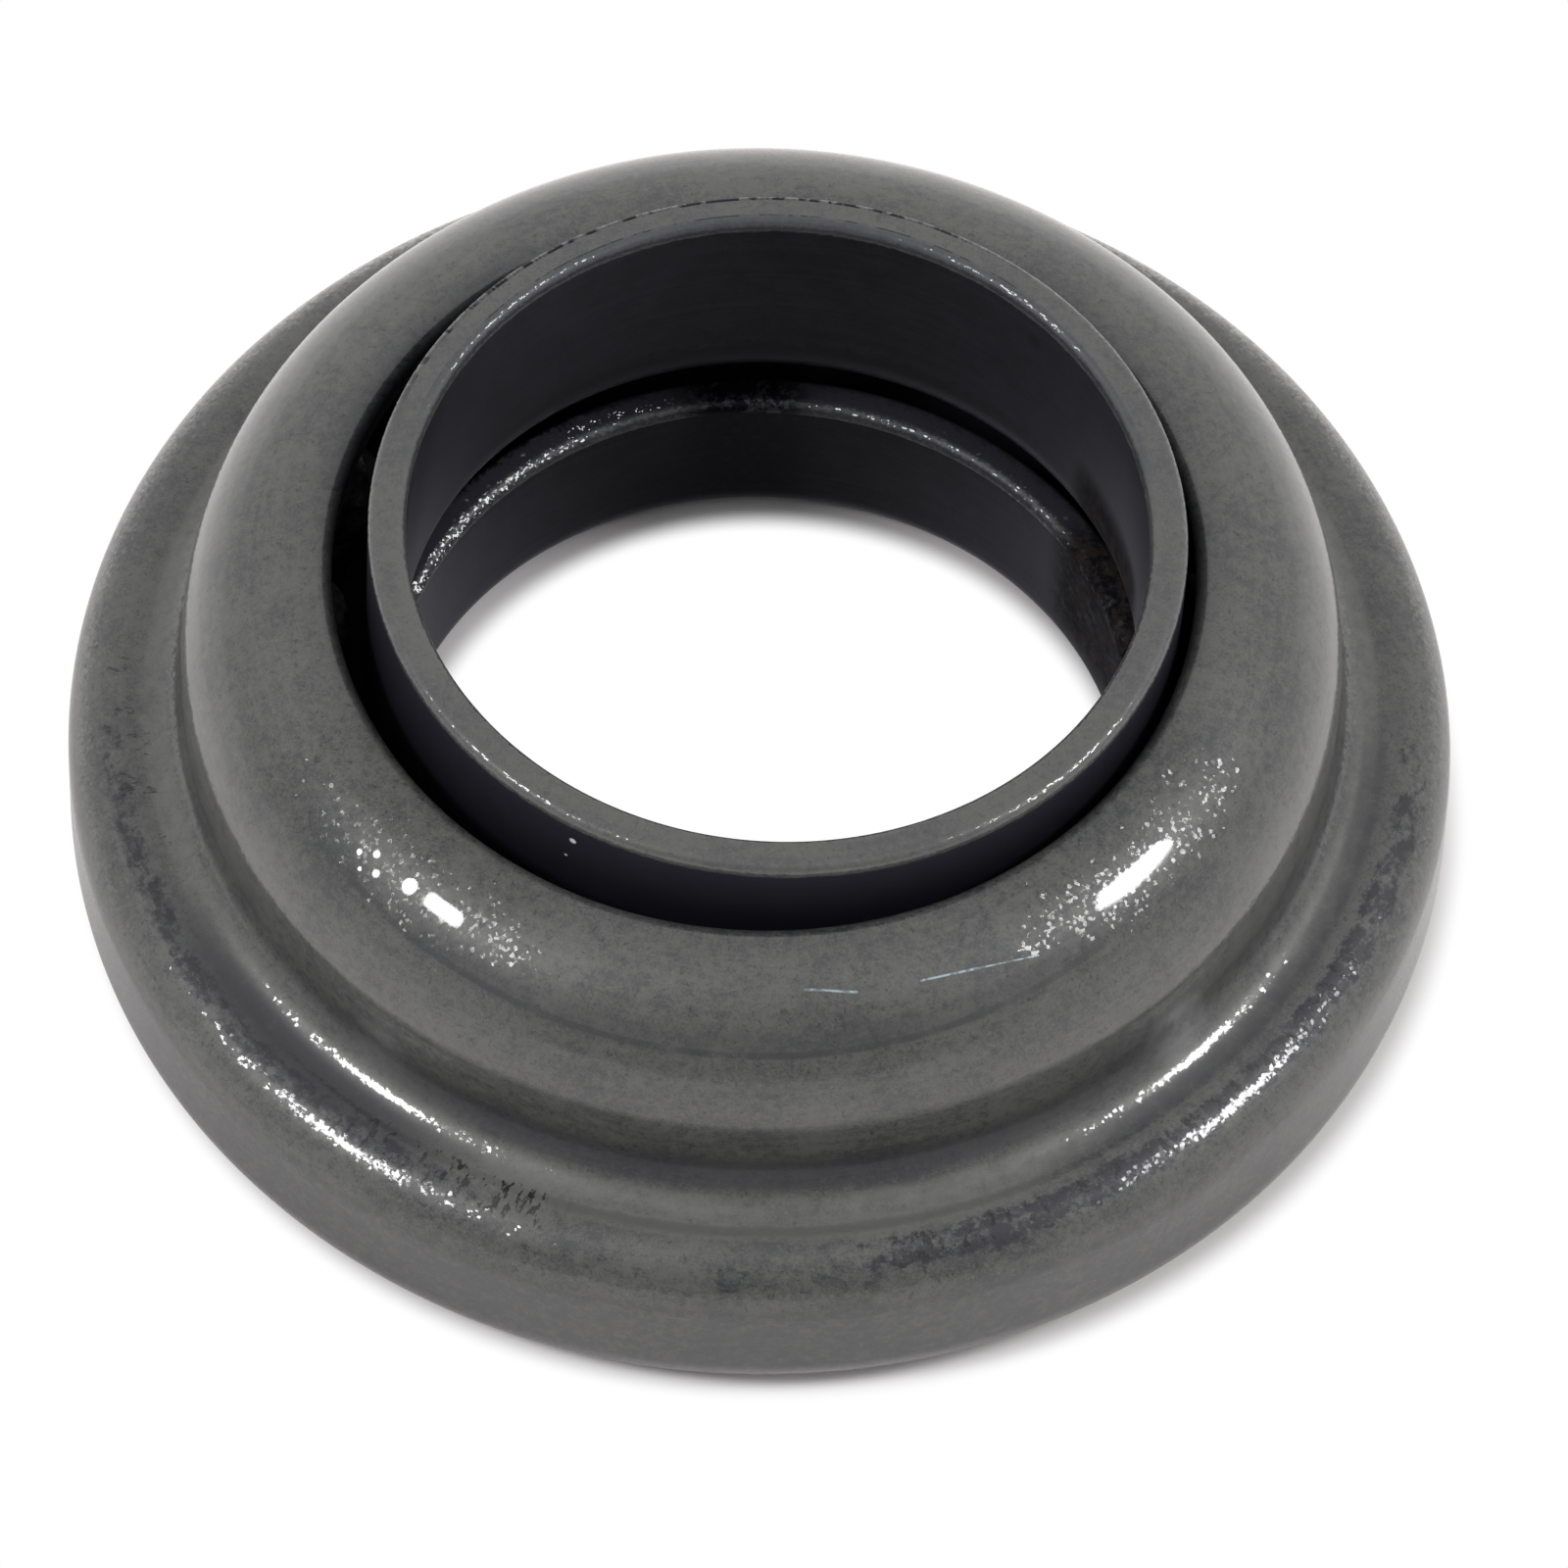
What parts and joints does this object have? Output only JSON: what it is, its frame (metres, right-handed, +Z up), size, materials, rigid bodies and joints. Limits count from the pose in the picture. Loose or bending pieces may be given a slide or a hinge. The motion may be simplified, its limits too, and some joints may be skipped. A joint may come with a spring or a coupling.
{
  "type": "steering column bearing",
  "caption": "Pressed-steel ball bearing for a steering column: a domed, flanged outer shell around a flared inner sleeve that runs on caged balls, closed by a lower retainer.",
  "frame": {"origin": "middle of the flat base that the bearing rests on, below the shell's dome and flange", "axes": "+Z up along the shell's axis, towards the sleeve's rim; +X is the side the loose sleeve leans towards"},
  "size_m": [0.043, 0.043, 0.016],
  "materials": {
    "blackened_shell": "dark phosphate, lightly worn",
    "blackened_sleeve": "dark phosphate, satin",
    "cage_steel": "bare pressed steel, oiled",
    "ball_steel": "ground and polished"
  },
  "bodies": {
    "shell": {"outer_race": "blackened_shell", "lower_retainer": "blackened_shell"},
    "sleeve": {"inner_race": "blackened_sleeve"},
    "cage": {"ball_cage": "cage_steel"},
    "ball_01": {"ball_01": "ball_steel"},
    "ball_02": {"ball_02": "ball_steel"},
    "ball_03": {"ball_03": "ball_steel"},
    "ball_04": {"ball_04": "ball_steel"},
    "ball_05": {"ball_05": "ball_steel"},
    "ball_06": {"ball_06": "ball_steel"},
    "ball_07": {"ball_07": "ball_steel"},
    "ball_08": {"ball_08": "ball_steel"},
    "ball_09": {"ball_09": "ball_steel"},
    "ball_10": {"ball_10": "ball_steel"},
    "ball_11": {"ball_11": "ball_steel"},
    "ball_12": {"ball_12": "ball_steel"},
    "ball_13": {"ball_13": "ball_steel"},
    "ball_14": {"ball_14": "ball_steel"},
    "ball_15": {"ball_15": "ball_steel"},
    "ball_16": {"ball_16": "ball_steel"},
    "ball_17": {"ball_17": "ball_steel"},
    "ball_18": {"ball_18": "ball_steel"}
  },
  "joints": [
    {"name": "inner_race_spin", "type": "hinge", "parent": "shell", "child": "sleeve", "pos_m": [0.00027, 0, 0.0096], "axis": [0.0209, 0, 0.9998], "continuous": true},
    {"name": "cage_orbit", "type": "hinge", "parent": "shell", "child": "cage", "pos_m": [0.00014, 0, 0.00967], "axis": [0.0105, 0, 0.9999], "continuous": true},
    {"name": "ball_01_spin", "type": "hinge", "parent": "cage", "child": "ball_01", "pos_m": [0.01466, 0, 0.00952], "axis": [-0.3322, 0, 0.9432], "continuous": true},
    {"name": "ball_02_spin", "type": "hinge", "parent": "cage", "child": "ball_02", "pos_m": [0.01378, 0.00497, 0.00953], "axis": [-0.3115, -0.117, 0.943], "continuous": true},
    {"name": "ball_03_spin", "type": "hinge", "parent": "cage", "child": "ball_03", "pos_m": [0.01126, 0.00934, 0.00956], "axis": [-0.2521, -0.2198, 0.9424], "continuous": true},
    {"name": "ball_04_spin", "type": "hinge", "parent": "cage", "child": "ball_04", "pos_m": [0.0074, 0.01258, 0.0096], "axis": [-0.1612, -0.2962, 0.9414], "continuous": true},
    {"name": "ball_05_spin", "type": "hinge", "parent": "cage", "child": "ball_05", "pos_m": [0.00266, 0.01431, 0.00965], "axis": [-0.0495, -0.3368, 0.9403], "continuous": true},
    {"name": "ball_06_spin", "type": "hinge", "parent": "cage", "child": "ball_06", "pos_m": [-0.00239, 0.01431, 0.0097], "axis": [0.0692, -0.3368, 0.939], "continuous": true},
    {"name": "ball_07_spin", "type": "hinge", "parent": "cage", "child": "ball_07", "pos_m": [-0.00713, 0.01258, 0.00975], "axis": [0.1808, -0.2962, 0.9379], "continuous": true},
    {"name": "ball_08_spin", "type": "hinge", "parent": "cage", "child": "ball_08", "pos_m": [-0.01099, 0.00934, 0.00979], "axis": [0.2718, -0.2198, 0.9369], "continuous": true},
    {"name": "ball_09_spin", "type": "hinge", "parent": "cage", "child": "ball_09", "pos_m": [-0.01351, 0.00497, 0.00982], "axis": [0.3312, -0.117, 0.9363], "continuous": true},
    {"name": "ball_10_spin", "type": "hinge", "parent": "cage", "child": "ball_10", "pos_m": [-0.01439, 0, 0.00983], "axis": [0.3518, 0, 0.9361], "continuous": true},
    {"name": "ball_11_spin", "type": "hinge", "parent": "cage", "child": "ball_11", "pos_m": [-0.01351, -0.00497, 0.00982], "axis": [0.3312, 0.117, 0.9363], "continuous": true},
    {"name": "ball_12_spin", "type": "hinge", "parent": "cage", "child": "ball_12", "pos_m": [-0.01099, -0.00934, 0.00979], "axis": [0.2718, 0.2198, 0.9369], "continuous": true},
    {"name": "ball_13_spin", "type": "hinge", "parent": "cage", "child": "ball_13", "pos_m": [-0.00713, -0.01258, 0.00975], "axis": [0.1808, 0.2962, 0.9379], "continuous": true},
    {"name": "ball_14_spin", "type": "hinge", "parent": "cage", "child": "ball_14", "pos_m": [-0.00239, -0.01431, 0.0097], "axis": [0.0692, 0.3368, 0.939], "continuous": true},
    {"name": "ball_15_spin", "type": "hinge", "parent": "cage", "child": "ball_15", "pos_m": [0.00266, -0.01431, 0.00965], "axis": [-0.0495, 0.3368, 0.9403], "continuous": true},
    {"name": "ball_16_spin", "type": "hinge", "parent": "cage", "child": "ball_16", "pos_m": [0.0074, -0.01258, 0.0096], "axis": [-0.1612, 0.2962, 0.9414], "continuous": true},
    {"name": "ball_17_spin", "type": "hinge", "parent": "cage", "child": "ball_17", "pos_m": [0.01126, -0.00934, 0.00956], "axis": [-0.2521, 0.2198, 0.9424], "continuous": true},
    {"name": "ball_18_spin", "type": "hinge", "parent": "cage", "child": "ball_18", "pos_m": [0.01378, -0.00497, 0.00953], "axis": [-0.3115, 0.117, 0.943], "continuous": true}
  ],
  "couplings": [
    {"joint": "cage_orbit", "follows": "inner_race_spin", "ratio": 0.44223},
    {"joint": "ball_01_spin", "follows": "inner_race_spin", "ratio": -4.0123},
    {"joint": "ball_02_spin", "follows": "inner_race_spin", "ratio": -4.0123},
    {"joint": "ball_03_spin", "follows": "inner_race_spin", "ratio": -4.0123},
    {"joint": "ball_04_spin", "follows": "inner_race_spin", "ratio": -4.0123},
    {"joint": "ball_05_spin", "follows": "inner_race_spin", "ratio": -4.0123},
    {"joint": "ball_06_spin", "follows": "inner_race_spin", "ratio": -4.0123},
    {"joint": "ball_07_spin", "follows": "inner_race_spin", "ratio": -4.0123},
    {"joint": "ball_08_spin", "follows": "inner_race_spin", "ratio": -4.0123},
    {"joint": "ball_09_spin", "follows": "inner_race_spin", "ratio": -4.0123},
    {"joint": "ball_10_spin", "follows": "inner_race_spin", "ratio": -4.0123},
    {"joint": "ball_11_spin", "follows": "inner_race_spin", "ratio": -4.0123},
    {"joint": "ball_12_spin", "follows": "inner_race_spin", "ratio": -4.0123},
    {"joint": "ball_13_spin", "follows": "inner_race_spin", "ratio": -4.0123},
    {"joint": "ball_14_spin", "follows": "inner_race_spin", "ratio": -4.0123},
    {"joint": "ball_15_spin", "follows": "inner_race_spin", "ratio": -4.0123},
    {"joint": "ball_16_spin", "follows": "inner_race_spin", "ratio": -4.0123},
    {"joint": "ball_17_spin", "follows": "inner_race_spin", "ratio": -4.0123},
    {"joint": "ball_18_spin", "follows": "inner_race_spin", "ratio": -4.0123}
  ]
}
